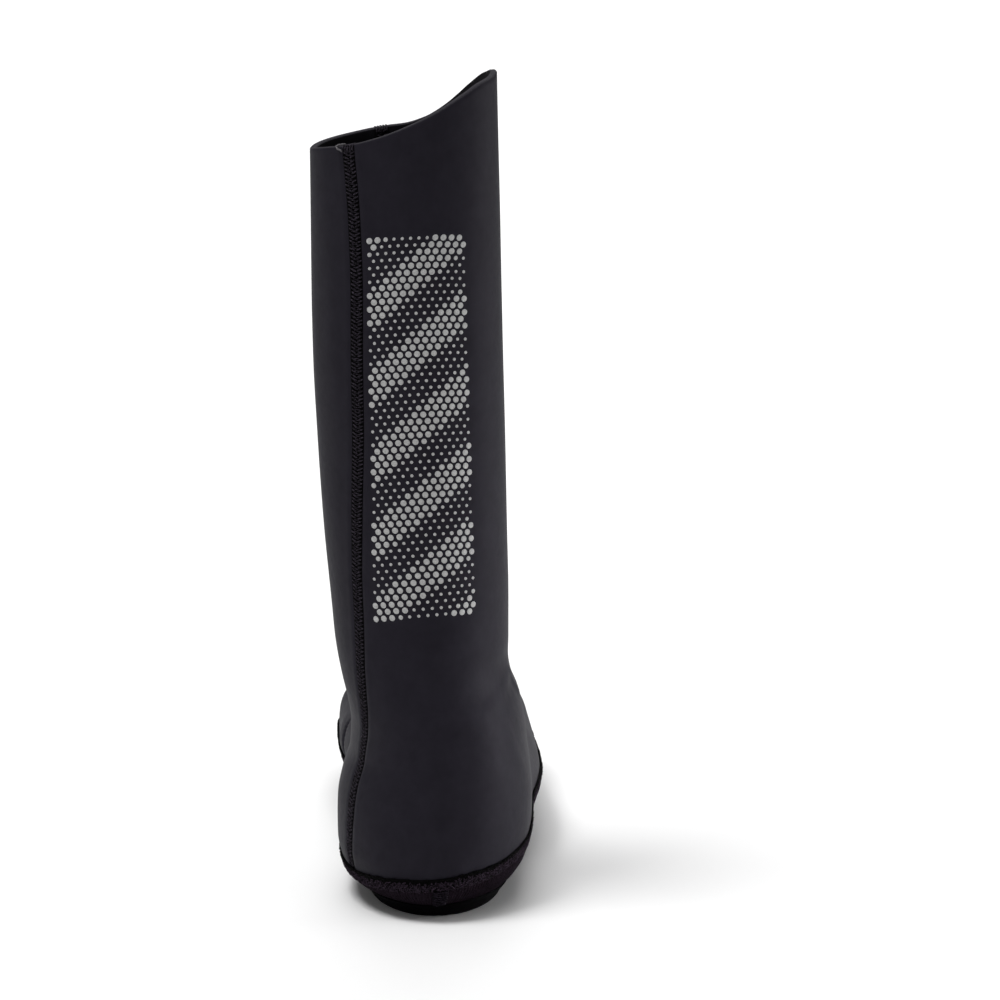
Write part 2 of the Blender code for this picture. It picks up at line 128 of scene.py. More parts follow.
# Heel, ankle and shaft: level sections, egg-shaped round the widest place
SHAFT = Sections(
    ("height", "medial", "lateral", "back", "middle", "front", "edge"),
    (0, -34, 30, 8, 57, 150, 1.95),
    (12, -40.6, 35.4, 3, 57, 150, 1.95),
    (19, -43.4, 38.8, 1, 57, 150, 1.97),
    (27, -44.9, 41.2, 0, 57, 150, 2.05),
    (36, -45, 42.2, 0, 57, 148, 2.1),
    (45, -44.8, 42.6, 0.8, 57, 145, 2.1),
    (56, -42.6, 41.8, 2.1, 57, 140, 2.1),
    (68, -38.4, 40, 3.8, 57, 133, 2.1),
    (78, -38, 38.8, 5.5, 58, 128, 2.1),
    (90, -40, 36.2, 7.5, 58, 122, 2.1),
    (100, -42.4, 32.8, 9.3, 58, 117, 2.05),
    (110, -44.4, 31.8, 11, 58, 112, 2),
    (118, -45.6, 32, 11.8, 58, 109, 2),
    (135, -47.1, 32, 13, 57, 104, 2),
    (171, -50.2, 31.3, 13.5, 54, 97, 2),
    (212, -52.6, 30.5, 12.5, 51, 91, 1.95),
    (248, -54.1, 29.6, 11, 48, 86, 1.9),
    (280, -54.5, 28.9, 10, 46, 82, 1.85),
    (316, -54.5, 28.2, 9, 43.5, 78, 1.8),
    (350, -54.6, 27.4, 8.5, 41.5, 74.5, 1.75),
    (380, -54.8, 26.8, 8, 41, 74, 1.75),
)

# Foot: upright sections across the last, with the crown of the instep and the widest height
FOOT = Sections(
    ("station", "medial", "lateral", "crown", "ridge", "widest", "round"),
    (20, -34, 32, 0, 70, 30, 2.2),
    (60, -40.5, 39.5, -2, 95, 30, 1.95),
    (100, -38, 43, -5, 103, 30, 1.76),
    (125, -37.5, 46, -7, 97, 30, 1.56),
    (145, -39.5, 47, -8, 90, 30, 1.58),
    (165, -42.8, 46.4, -8, 81, 30, 1.6),
    (190, -47.4, 44.8, -8, 71.5, 30, 1.7),
    (214, -49, 42.8, -7, 63.5, 30, 2),
    (238, -49.6, 40, -6.5, 57, 31, 2.5),
    (262, -45.5, 36.5, -7, 52, 31, 2.5),
    (LENGTH, -40, 31, -8, 47, 32, 2.4),
)

# Rings from the lower edge of the upper to its collar: each lies on a sheet that rises from heel to front.
# The last two columns say how much of the joint's and the collar's own rise the ring takes on.
RINGS = Sections(
    ("ring", "back", "reach", "front", "bend", "joint", "collar"),
    (0, 19, LENGTH, 28, 3.2, 1, 0),
    (1, 26, 284, 36, 2.6, 0.86, 0),
    (2, 34, 276, 44, 2, 0.68, 0),
    (3, 43, 258, 51, 1.6, 0.48, 0),
    (4, 53, 232, 58.5, 1.3, 0.28, 0),
    (5, 64, 204, 67.5, 1.1, 0.12, 0),
    (6, 76, 176, 78.5, 1, 0, 0),
    (7, 88, 150, 91, 1, 0, 0),
    (8, 100, 128, 105, 1, 0, 0),
    (9, 113, 114, 121, 1, 0, 0),
    (10, 130, 106, 139, 1, 0, 0),
    (11, 152, 101, 158, 1, 0, 0),
    (12, 178, 96, 181, 1, 0, 0),
    (13, 206, 92, 207, 1, 0, 0),
    (14, 236, 88, 236, 1, 0, 0),
    (15, 266, 84, 266, 1, 0, 0),
    (16, 296, 80, 296, 1, 0, 0.15),
    (17, 325, 77, 325, 1, 0, 0.5),
    (18, COLLAR_LEVEL, 74, COLLAR_LEVEL, 1, 0, 1),
)

# Rise of the joint of upper and sole above the lowest ring's sheet, by the turn in degrees
JOINT = Sections(
    ("turn", "rise"),
    (-90, 0), (-70, -1.4), (-52, -3.2), (-42, -4.2), (-30, -3.2), (-15, -1.8), (0, -1.2), (20, 0.5),
    (33, 2.5), (45, 5.7), (55, 6.8), (70, 8.8), (90, 9.8), (103, 7.5), (120, 4), (160, 1.2), (180, 0.5),
    (225, 1.2), (244, 3.2), (258, 1.6), (270, 0),
)

# Height of the cut collar, by the turn in degrees from the back towards the outer side
COLLAR = Sections(
    ("turn", "height"),
    (-90, 340), (-64, 343), (-43, 345.3), (-18, 349.5), (-4, 352.5), (11, 356.1), (27, 360.4),
    (41, 364.7), (52, 367.8), (64, 370.8), (80, 372.6), (90, 373.8), (96, 373.9), (103, 372.7),
    (110, 371.2), (125, 365.5), (135, 360.8), (145, 356.2), (155, 352.2), (165, 349), (180, 346.2),
    (195, 345.2), (225, 342.8), (270, 340),
)

# Underside of the sole along the foot: heel, arch, flat forefoot and toe spring
FLOOR = Sections(
    ("station", "height"),
    (0, 4.9), (84, 4.9), (118, 7.2), (152, 0.0), (246, 0.0), (264, 3.2), (LENGTH, 11.0),
)

# Side of the sole: how far it turns in, and the share of its height that is left
BILGE = Sections(
    ("inset", "share"),
    (0.0, 1.0), (0.2, 0.82), (1.9, 0.58), (5.3, 0.32), (9.0, 0.12), (11.6, 0.0),
)

# Paths of the two seams over the upper, as a turn in degrees at each ring
REAR_SEAM = Sections(
    ("ring", "turn"),
    (0, -43), (3, -43.2), (4.6, -44.6), (5.7, -45.2), (7, -43.9), (8.6, -40.4), (10.6, -38.4),
    (12.2, -36.6), (13.8, -34.2), (15.2, -34.3), (16.6, -36.8), (18, -42.5),
)
FRONT_SEAM = Sections(
    ("ring", "turn"),
    (0, 180), (4, 180), (8, 182), (12, 188), (15, 194), (18, 199),
)

# Steps of ring or turn over which slopes of the upper are measured
SLOPE_STEP = 0.02
FINE_STEP = 0.01
RIM_STEP = 0.05

# Mesh density of the upper, of threads and of the strip along the joint, and the strip's heights
SKIN_COLUMNS = 380
SKIN_ROWS = 188
LINING_ROWS = 30
FOLD_TURNS = (246.0, 260.0)
FOLD_COLUMNS = 56
JOINT_SAMPLES = 1600
JOINT_STRIP = (-12.6, 5.0)
JOINT_STRIP_ROWS = 41
TUBE_SIDES = 5
ROUND_SIDES = 7
THREAD_POINTS = 6

# Numbers of the materials on the upper, on pieces made of threads, and on pieces of one material
SKIN_NUMBER, EDGE_NUMBER, LINING_NUMBER = 0, 1, 2
# On pieces made of threads, the second material is near-black painted shade under and between the threads
THREAD_NUMBER, SHADE_NUMBER = 0, 1
ONLY_NUMBER = 0

# Puffed edges of the neoprene along a flat seam, and the groove that the stitches lie in
PUFF_HEIGHT = 0.15
PUFF_PLACE = 4.9
PUFF_WIDTH = 2.0
GROOVE_DEPTH = 0.5
GROOVE_WIDTH = 3.5
GROOVE_POWER = 4

# Soft creases: turn in degrees and height at both ends, how far out (+) or in (-), and a half width
Crease = namedtuple("Crease", "turn_1 height_1 turn_2 height_2 out half_width")
CREASES = (
    Crease(74, 104, 34, 93, 0.7, 2.6),
    Crease(80, 114, 50, 107, -0.25, 4.0),
    Crease(72, 104, 75, 89, 0.8, 2.2),
    Crease(-110.5, 44, -104.8, 28, -2.4, 0.28),
    Crease(-104.5, 42, -100.0, 28, 0.4, 1.6),
    Crease(-114.5, 44, -109.0, 28, 0.6, 1.6),
    Crease(140, 118, 222, 116, -0.9, 5.0),
    Crease(146, 104, 216, 103, 0.8, 5.0),
    Crease(150, 92, 212, 91, -0.7, 4.5),
    Crease(20, 330, 34, 240, -0.35, 7.0),
    Crease(-70, 300, -62, 190, -0.35, 8.0),
    Crease(43, 88, 51, 58, 0.45, 2.6),
)
CREASE_MM_PER_DEGREE = 0.75
CREASE_RUNS_OUT = (-0.15, 0.25)

# Cut edge of the collar: how far in from the outside, and how far it stands above the last ring
COLLAR_EDGE = ((0.3, 0.35), (0.9, 0.5), (1.5, 0.45), (2.1, 0.5), (2.7, 0.35))

# Flat seams: a near-black sheet under the stitches, painted shade in the groove between them
SEAM_RINGS = (0.42, 18.0)
SEAM_SAMPLES = 600
SEAM_SHADE_ROWS = 260
SEAM_SHADE_COLUMNS = 7
SEAM_SHADE_OVERHANG = 0.25
SEAM_SHADE_TOP = 0.12
SEAM_SHADE_UNDER = -0.4

# Stitches of the flat seams: start and run along the seam in pitches, start and width across it in half
# widths, lift and thickness of the ends and what the middle adds to each, and unevenness
Stitch = namedtuple("Stitch", "along run across width lift plump ends middle uneven lift_uneven")
STITCH_LEG = Stitch(0.15, 0.6, 0.08, 0.9, 0.12, 0.34, 0.6, 0.4, 0.12, 0.05)
STITCH_CROSSING = Stitch(0.75, 0.2, 0.6, -1.2, 0.1, 0.25, 0.6, 0.0, 0.1, 0.0)
STITCH_PITCH = 1.75
STITCH_HALF_WIDTH = 2.8
STITCH_RADIUS = 0.4
STITCH_START = 0.4

# Threads over the collar's edge: number, spread, and places outwards and upwards along them
RIM_THREADS = 5
RIM_SPREAD = 0.9
RIM_SECTION = ((0.1, -2.4), (0.35, -0.9), (0.1, 0.3), (-1.5, 0.55), (-3.1, 0.3), (-3.4, -0.9), (-3.2, -2.4))

# Loose thread end at the collar: places across the seam, outwards and upwards along its curl
THREAD_END_CURL = (
    (-2.8, 0.5, -2.0), (-3.6, 0.75, -1.2), (-5.2, 0.7, -0.5), (-6.2, 0.3, 0.6),
    (-5.6, -0.9, 1.0), (-4.2, -1.4, 1.0), (-2.6, -1.6, 0.9),
)
THREAD_END_LEAN = 0.3
THREAD_END_RADIUS = 0.42

# Bound edge: the raised band over the joint of upper and sole, coloured near black as painted shade between
# its threads
BAND_HALF_HEIGHT = 3.0
BAND_THREAD = 0.32
BAND_COLUMNS = 300
BAND_ROWS = 11
BAND_FOOT = 0.12
BAND_RISE = 0.55
BAND_LEAN = 0.3
BAND_SPREAD = 0.3
BAND_UNDER = 0.05
THREADS_RISE = 0.6
THREADS_FULL = 1.04

# Bound edge: tangled loops up and down the band
LOOPS = 700
LOOP_START_UNEVEN = 0.2
LOOP_SLANT = 0.7
LOOP_WAVER = 0.3
LOOP_MIDDLE = -0.65
LOOP_MARGIN = 0.75
LOOP_HEIGHT_UNEVEN = 0.25
LOOP_LIFT = (-0.08, 0.08)

# Bound edge: short fibres that lie every way
FIBRES = 3600
FIBRE_POINTS = 4
FIBRE_SIDES = 4
FIBRE_REACH = (0.4, 0.9)
FIBRE_MARGINS = (0.1, 1.4)
FIBRE_LIFT = 0.12
FIBRE_BEND = 0.25
FIBRE_UNEVEN = 0.1

# Bound edge: needle stitches along its top, coloured near black as painted shade along the band's top edge
NEEDLE_PITCH = 2.2
NEEDLE_LENGTH = 2.3
NEEDLE_BELOW_TOP = 0.4
NEEDLE_LIFT = 0.35
NEEDLE_PLUMP = 0.4
NEEDLE_WAVE = 0.35
NEEDLE_WAVE_RUN = 9.0
NEEDLE_UNEVEN = 0.25
NEEDLE_THICKNESS = 1.3

# Tab at the back of the heel, on the joint's strip, and the ribs across it
TAB_ALONG = 3.0
TAB_HALF_WIDTH = 3.7
TAB_TOP = -2.6
TAB_BOTTOM = -11.4
TAB_COLUMNS = 9
TAB_ROWS = 15
TAB_THICKNESS = 0.75
TAB_EDGE_DROP = 0.75
TAB_SQUARENESS = 8
TAB_UNDER = 0.02
TAB_RIBS = 8
TAB_RIB_MARGINS = (0.6, 0.4)
TAB_RIB_INSET = 0.2
TAB_RIB_LIFT = 0.6
TAB_RIB_PLUMP = 0.3
TAB_RIB_FULL = 1.02
TAB_RIB_SQUARENESS = 4
TAB_RIB_SWAY = 0.12
TAB_RIB_RADIUS = 0.46

# Printed panel on the back of the shaft: its edges as turns in degrees, and the rise of its rows outwards
PRINT_PANEL = Sections(
    ("height", "inner", "outer", "rise"),
    (136.3, -25.5, 34.5, 2.8), (220.0, -23.7, 40.0, 1.6), (304.9, -25.0, 43.0, 0.5),
)
PRINT_BOW = 1.5
PRINT_ROWS = 57
PRINT_COLUMNS = 12
PRINT_BANDS = 5.0
PRINT_BAND_EDGE = (-0.35, 0.25)
PRINT_SEARCH_STEPS = 4
PRINT_MM_PER_RING = 29.0

# Printed dots: radii, height of the ink, and a section as shares of radius and height
PRINT_SMALL_DOT = 0.7
PRINT_FULL_DOT = 1.36
PRINT_HEIGHT = 0.12
PRINT_DOT_SIDES = 16
PRINT_DOT_SECTION = ((1.0, -0.12), (1.0, 0.6), (0.82, 1.0))

# Sole: rows over its flat and up its side, and the ribs round its side
SOLE_COLUMNS = 1700
SOLE_FLAT_SHARES = (0.0, 0.03, 0.1, 0.18, 0.27, 0.36, 0.45, 0.54, 0.63, 0.72, 0.8, 0.88, 0.95)
SOLE_SIDE_SHARES = (0.0, 0.06, 0.12, 0.2, 0.3, 0.4, 0.5, 0.6, 0.7, 0.8, 0.9, 1.0)
SOLE_INNER_STEP = 2
SOLE_RIBS = 425
SOLE_RIB_HEIGHT = 0.22
SOLE_RIBS_START = (0.02, 0.3)
SOLE_RIBS_END = (0.8, 1.0)

# Heel pad: its rounded lower edge, and a lip along the sole's side.
# The lip's section gives shares of its reach and distances below the sole.
PAD_BACK_COLUMNS = 73
PAD_CORNER_COLUMNS = 9
PAD_EDGE_DEGREES = (0.0, 20.0, 40.0, 60.0, 75.0)
PAD_LIP = 3.0
PAD_LIP_AT_BACK = 0.12
PAD_LIP_SECTION = ((0.0, 1.9), (0.5, 1.5), (0.9, 1.05), (1.0, 0.75), (0.9, 0.5), (0.5, 0.5), (0.0, 0.5))
PAD_TOP_INSET = 2.5

# Grained materials: noise of the colours as size, detail and roughness, bumps as size, detail and depth,
# dark and light colour, roughness and shine
Look = namedtuple("Look", "name noise bump dark light roughness shine")
CUT_FOAM = Look(
    "cut_foam_edge", (0.5, 3.0, 0.7), (0.35, 2.0, 0.12),
    (0.007, 0.0064, 0.0085), (0.03, 0.027, 0.035), 0.9, 0.2,
)
KNIT = Look(
    "knitted_lining", (1.2, 4.0, 0.6), (0.6, 2.0, 0.12),
    (0.0012, 0.001, 0.0016), (0.0036, 0.003, 0.005), 0.9, 0.05,
)
TEXTILE = Look(
    "ribbed_sole_textile", (1.0, 4.0, 0.7), (0.5, 3.0, 0.2),
    (0.0006, 0.0004, 0.0006), (0.0175, 0.0108, 0.0175), 0.88, 0.04,
)
RUBBER = Look(
    "moulded_rubber", (3.0, 4.0, 0.6), (0.5, 2.0, 0.05),
    (0.0003, 0.00025, 0.0004), (0.0012, 0.001, 0.0017), 0.7, 0.03,
)
INK = Look(
    "reflective_ink", (0.5, 3.0, 0.7), (0.3, 2.0, 0.06),
    (0.27, 0.27, 0.27), (0.54, 0.54, 0.535), 0.55, 0.5,
)

# The same for threads, and the values of a noise between which colours run from dark to light
THREAD_NOISE = (0.7, 4.0, 0.7)
THREAD_BUMP = (0.2, 2.0, 0.06)
THREAD_ROUGHNESS = 0.8
THREAD_RAMP_ENDS = (0.42, 0.74)
RAMP_ENDS = (0.3, 0.7)

# Stage in metres and watts: floor, area lights with the degrees they spread over, and light all round
FLOOR_SIDE = 30.0
Light = namedtuple("Light", "name place target width height power spread")
LIGHTS = (
    Light("sky", (0.0, 1.9, 2.6), (0.0, 1.9, 0.0), 1.8, 6.2, 64.0, 180.0),
    Light("key", (-1.15, -0.6, 3.4), (0.0, 0.0, 0.0), 1.2, 1.2, 74.0, 180.0),
    Light("back", (0.0, 3.2, 2.4), (0.0, 3.0, 0.0), 2.0, 2.0, 30.0, 180.0),
    Light("side", (1.7, 0.4, 0.3), (0.0, -0.09, 0.15), 0.5, 0.5, 7.5, 180.0),
    Light("low_side", (1.58, 0.16, 0.14), (0.0, -0.09, 0.05), 0.4, 0.4, 0.22, 13.0),
)
WORLD_STRENGTH = 0.25

# Camera: target and distance in millimetres, elevation in degrees, clipping in metres
CAMERA_TARGET = (28.2, 45.0, 182.5)
CAMERA_DISTANCE = 2300.0
CAMERA_ELEVATION = 13.0
CAMERA_CLIP = (0.1, 60.0)
FOCAL_PIXELS = 5199.0
IMAGE_PIXELS = 1000.0
SENSOR = 36.0

rng = np.random.default_rng(RANDOM_SEED)
origin = np.array(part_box("heel_pad")[0]) / MM - HEEL_PAD_LOWEST_CORNER


# Helpers

def smoothstep(value, low, high):
    t = np.clip((value - low) / (high - low), 0.0, 1.0)
    return t * t * (3 - 2 * t)


def lengths(vectors):
    return np.linalg.norm(vectors, axis=-1)


def unit(vectors):
    return vectors / lengths(vectors)[..., None]


def turns(count):
    return np.arange(count) * 2 * math.pi / count


def steps_round(points, axis):
    """From the point before each one to the point after it, round a closed row."""
    return np.roll(points, -1, axis=axis) - np.roll(points, 1, axis=axis)


def length_along(points):
    """Length in millimetres from the first point to each of them."""
    return np.concatenate(((0.0,), np.cumsum(lengths(np.diff(points, axis=0)))))


def plan_normals(outline):
    """Outward normals, in plan, of a closed outline that runs anticlockwise."""
    tangent = steps_round(outline, 0)
    return unit(np.stack((tangent[:, 1], -tangent[:, 0], np.zeros(len(tangent))), axis=-1))


def grid_normals(grid):
    """Outward normals of a grid of points, whose rows close round the shoe."""
    return unit(np.cross(steps_round(grid, 1), np.gradient(grid, axis=0)))


# The last, and the surfaces of upper and sole on it

def end_cap(station, start, end, power):
    """Share of a section's size that is left on the way from start to end, where the form closes."""
    t = np.clip((station - start) / (end - start), 0.0, 1.0)
    return np.maximum(1.0 - t**power, SMALLEST_SHARE) ** (1.0 / power)


def shaft_field(x, y, z):
    """Below zero inside the column of heel, ankle and shaft."""
    medial, lateral, back, middle, front, edge = SHAFT.read_all(z)
    half_width = (lateral - medial) / 2
    depth = np.where(y < middle, middle - back, front - middle)
    across = np.abs(x - (medial + lateral) / 2) / half_width
    along = np.abs(y - middle) / depth
    return (np.sqrt(across**2.0 + along**edge) - 1.0) * half_width


def foot_field(x, y, z):
    """Below zero inside the foot, from the heel to the toe."""
    medial, lateral, crown, ridge, widest, power = FOOT.read_all(y)
    toe = end_cap(y, TOE_WIDTH_START, LENGTH, TOE_WIDTH_POWER)
    heel = end_cap(y, HEEL_FADE_START, HEEL_FADE_END, HEEL_FADE_POWER)
    outer_width, inner_width = lateral - crown, crown - medial
    half_width = np.where(x > crown, outer_width, inner_width)
    rise = (ridge - widest) * end_cap(y, TOE_RISE_START, TOE_RISE_END, TOE_RISE_POWER)
    height = np.where(z > widest, rise, widest + FOOT_BELOW_FLOOR)
    # Right over the crown counts as a little beside it, so that the form closes past the toe there too
    across = np.maximum(np.abs(x - crown), CROWN_STRIP) / (half_width * toe * heel)
    up = np.abs(z - widest) / height
    return ((across**power + up**power) ** (1.0 / power) - 1.0) * (outer_width + inner_width) / 2


def last_field(x, y, z):
    """Below zero inside the whole form: foot and shaft run into each other with a fillet at the instep."""
    foot, shaft = foot_field(x, y, z), shaft_field(x, y, z)
    fillet = SOLE_FILLET + (INSTEP_FILLET - SOLE_FILLET) * smoothstep(z, *FILLET_GROWS)
    share = np.maximum(fillet - np.abs(foot - shaft), 0.0) / fillet
    return np.minimum(foot, shaft) - share**2 * fillet / 4


def table_turn(turn):
    """A turn in degrees, in the range that the tables of collar and joint use."""
    return (np.degrees(turn) + 90.0) % 360.0 - 90.0


def middle_line(y, z):
    """Sideways place of the form's middle, from the foot's own curve to the lean of the shaft."""
    foot = (FOOT.read("medial", y) + FOOT.read("lateral", y)) / 2
    shaft = (SHAFT.read("medial", z) + SHAFT.read("lateral", z)) / 2
    return foot + (shaft - foot) * smoothstep(z, *LEAN_STARTS)


def ring_spine(ring, turn):
    """Where the ray for this turn starts, as x and y on the middle line, and the ring's sheet over y."""
    back, reach, front, bend, joint, collar = RINGS.read_all(ring)
    lift = collar * (COLLAR.read("height", table_turn(turn)) - COLLAR_LEVEL)
    lift = lift + joint * JOINT.read("rise", table_turn(turn))

    def sheet(y):
        return back + (front - back) * np.clip(y / reach, 0.0, SHEET_OVERRUN) ** bend + lift

    rear = SHAFT.read("back", back)
    half = (reach - rear) / 2
    y = (reach + rear) / 2 - np.maximum(half - END_RADIUS, 0.0) * np.cos(turn)
    return middle_line(y, sheet(y)), y, sheet


def upper_surface(ring, turn, rise=0.0):
    """Points on the outside of the last. The turn runs from the back round the outer side, in radians."""
    ring, turn = np.broadcast_arrays(np.asarray(ring, float), np.asarray(turn, float))
    x0, y0, sheet = ring_spine(ring, turn)
    near, far = np.zeros(turn.shape), np.full(turn.shape, SEARCH_REACH)
    for _ in range(SEARCH_STEPS):
        reach = (near + far) / 2
        x, y = x0 + reach * np.sin(turn), y0 - reach * np.cos(turn)
        inside = last_field(x, y, sheet(y) + rise) < 0
        near, far = np.where(inside, reach, near), np.where(inside, far, reach)
    return np.stack((x, y, sheet(y) + rise), axis=-1)


def upper_frame(ring, turn):
    """Points on the upper, their outward normals, and millimetres round the upper per radian of turn."""
    across = upper_surface(ring, turn + SLOPE_STEP) - upper_surface(ring, turn - SLOPE_STEP)
    across = across / (2 * SLOPE_STEP)
    along = upper_surface(ring + SLOPE_STEP, turn) - upper_surface(ring - SLOPE_STEP, turn)
    return upper_surface(ring, turn), unit(np.cross(across, along)), lengths(across)


def rings_at(heights):
    """Ring numbers at these heights up the back."""
    return np.interp(heights, RINGS.rows[:, 1], RINGS.rows[:, 0])


def bilge_inset(share):
    """How far the side of the sole turns in where this share of its height is left."""
    return np.interp(share, BILGE.rows[::-1, 1], BILGE.rows[::-1, 0])


def sole_wall(outline, normal, drop):
    """The side of the sole at this many millimetres below its edge."""
    floor = FLOOR.read("height", outline[:, 1])
    inset = bilge_inset(1.0 - drop / (outline[:, 2] - floor))
    return outline - normal * inset[:, None] - (0.0, 0.0, drop)


# Meshes

def grid_faces(rows, columns, closed_rows=False):
    """Quads of a grid of points, row after row, whose rows close."""
    r = np.arange(rows if closed_rows else rows - 1)
    r, c = np.meshgrid(r, np.arange(columns), indexing="ij")
    r2, c2 = (r + 1) % rows, (c + 1) % columns
    corners = (r * columns + c, r * columns + c2, r2 * columns + c2, r2 * columns + c)
    return np.stack(corners, axis=-1).reshape(-1, 4)


def capped_grids(rows, columns, copies=1):
    """Faces of grids one after the other: the quads, then the caps on the first and the last rows."""
    start = np.arange(copies)[:, None] * rows * columns
    walls = (grid_faces(rows, columns)[None] + start[..., None]).reshape(-1, 4)
    first = start + np.arange(columns)[::-1]
    last = start + (rows - 1) * columns + np.arange(columns)
    return walls, first, last


def make_piece(name, parts, materials, nodes=()):
    """One smooth mesh object from parts of (points in millimetres, groups of faces, material number)."""
    points, faces, numbers = [], [], []
    count = 0
    for part_points, part_faces, number in parts:
        points.append(np.asarray(part_points).reshape(-1, 3))
        for group in part_faces:
            faces += (np.asarray(group) + count).tolist()
        face_count = sum(len(group) for group in part_faces)
        numbers.append(np.broadcast_to(number, face_count))
        count += len(points[-1])
    mesh = bpy.data.meshes.new(name)
    mesh.from_pydata(((np.concatenate(points) + origin) * MM).tolist(), [], faces)
    for item in materials:
        mesh.materials.append(item)
    mesh.polygons.foreach_set("material_index", np.concatenate(numbers).astype(np.int32))
    mesh.shade_smooth()
    piece = bpy.data.objects.new(name, mesh)
    bpy.context.scene.collection.objects.link(piece)
    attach(piece, "root")
    if nodes:
        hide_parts(*nodes)


def tubes(paths, normals, radius, sides=TUBE_SIDES):
    """Closed round threads along many paths that have the same number of points."""
    count, length = paths.shape[:2]
    tangent = unit(np.gradient(paths, axis=1))
    side = unit(np.cross(tangent, normals))
    out = np.cross(side, tangent)
    angle = turns(sides)[:, None]
    ring = np.cos(angle) * side[:, :, None] - np.sin(angle) * out[:, :, None]
    points = paths[:, :, None] + np.broadcast_to(radius, (count, length))[:, :, None, None] * ring
    return points, capped_grids(length, sides, count)


# The skin: the last with its puffed seam edges and creases

def across_seam(path, ring, turn, speed):
    """Distance in millimetres from the middle of a seam, round the upper."""
    away = turn - np.radians(path.read("turn", ring))
    return ((away + math.pi) % (2 * math.pi) - math.pi) * speed


def crease_out(crease, turn, height):
    """How far one soft trough or ridge, which runs out at both ends, moves the skin."""
    across = ((np.degrees(turn) - crease.turn_1 + 180.0) % 360.0 - 180.0) * CREASE_MM_PER_DEGREE
    up = height - crease.height_1
    run_across = (crease.turn_2 - crease.turn_1) * CREASE_MM_PER_DEGREE
    run_up = crease.height_2 - crease.height_1
    length = math.hypot(run_across, run_up)
    share = (across * run_across + up * run_up) / length**2
    aside = (across * run_up - up * run_across) / length
    ends = smoothstep(share, *CREASE_RUNS_OUT) * smoothstep(1.0 - share, *CREASE_RUNS_OUT)
    return crease.out * ends * np.exp(-((aside / crease.half_width) ** 2))


def relief(ring, turn, speed, height):
    """How far the skin stands out from the last."""
    total = np.zeros(np.broadcast(ring, turn).shape)
    for path in (REAR_SEAM, FRONT_SEAM):
        away = np.abs(across_seam(path, ring, turn, speed))
        total += PUFF_HEIGHT * np.exp(-(((away - PUFF_PLACE) / PUFF_WIDTH) ** 2))
        total -= GROOVE_DEPTH * np.exp(-((away / GROOVE_WIDTH) ** GROOVE_POWER))
    for crease in CREASES:
        total += crease_out(crease, turn, height)
    return total


def skin_point(ring, turn, lift):
    """Points above the skin by a lift, with the outward normals there."""
    point, normal, speed = upper_frame(ring, turn)
    out = relief(ring, turn, speed, point[..., 2]) + lift
    return point + normal * out[..., None], normal


def skin_turns():
    """Turns round the upper, closer together across the sharp fold of the inner forefoot."""
    low, high = np.radians(FOLD_TURNS)
    even = turns(SKIN_COLUMNS)
    return np.concatenate((even[even < low], np.linspace(low, high, FOLD_COLUMNS), even[even > high]))


def build_upper(skin, edge, lining):
    """The upper as one closed shell: outside, cut edge of the collar, and lining."""
    turn = skin_turns()[None, :]
    ring = rings_at(np.linspace(RINGS.rows[0, 1], RINGS.rows[-1, 1], SKIN_ROWS))[:, None]
    outside = upper_surface(ring, turn)
    width = steps_round(turn, 1) % (2 * math.pi)
    around = steps_round(outside, 1) / width[..., None]
    along = np.gradient(outside, axis=0)
    normal = unit(np.cross(around, along))
    shape = relief(ring, turn, lengths(around), outside[..., 2])
    rows = outside + normal * shape[..., None]

    upwards = unit(along[-1])
    cut = [rows[-1] - normal[-1] * inset + upwards * rise for inset, rise in COLLAR_EDGE]
    chosen = np.linspace(SKIN_ROWS - 1, 0, LINING_ROWS).round().astype(int)
    inside = outside[chosen] - normal[chosen] * WALL
    points = np.concatenate((rows, np.array(cut), inside))
    faces = grid_faces(len(points), turn.size, closed_rows=True)
    row_number = np.full(len(points), LINING_NUMBER)
    row_number[: SKIN_ROWS - 1] = SKIN_NUMBER
    row_number[SKIN_ROWS - 1 : SKIN_ROWS + len(cut)] = EDGE_NUMBER
    parts = [(points, (faces,), np.repeat(row_number, turn.size))]
    make_piece("upper_shell", parts, (skin, edge, lining), ["upper"])


# Seams

def seam_speed(path, ring):
    """Millimetres round the upper per radian of turn, along a seam."""
    turn = np.radians(path.read("turn", ring))
    return lengths(upper_surface(ring, turn + FINE_STEP) - upper_surface(ring, turn)) / FINE_STEP


def rim_frame(path, across):
    """The collar's edge beside the top of a seam: points, outward and upward directions."""
    ring = RINGS.rows[-1, 0]
    turn = np.radians(path.read("turn", ring)) + across / seam_speed(path, ring)
    point, out, _ = upper_frame(ring, turn)
    return point, out, unit(point - upper_surface(ring - RIM_STEP, turn))


def rim_threads(path):
    """Threads of a seam that turn over the cut edge of the collar."""
    across = np.linspace(-RIM_SPREAD, RIM_SPREAD, RIM_THREADS) * STITCH_HALF_WIDTH
    point, out, up = rim_frame(path, across)
    rows = [point + out * away + up * rise for away, rise in RIM_SECTION]
    return tubes(np.stack(rows, axis=1), np.cross(up, out)[:, None, :], STITCH_RADIUS)


def build_thread_end(path, thread):
    """The loose end of a seam's thread, curled over the edge beside the seam."""
    curl = np.array(THREAD_END_CURL)
    point, out, up = rim_frame(path, curl[:, 0])
    row = point + out * curl[:, 1:2] + up * curl[:, 2:]
    lean = np.cross(up, out) * THREAD_END_LEAN + up
    points, faces = tubes(row[None], lean[None], THREAD_END_RADIUS, ROUND_SIDES)
    make_piece("seam_thread_end", [(points, faces, THREAD_NUMBER)], (thread,))


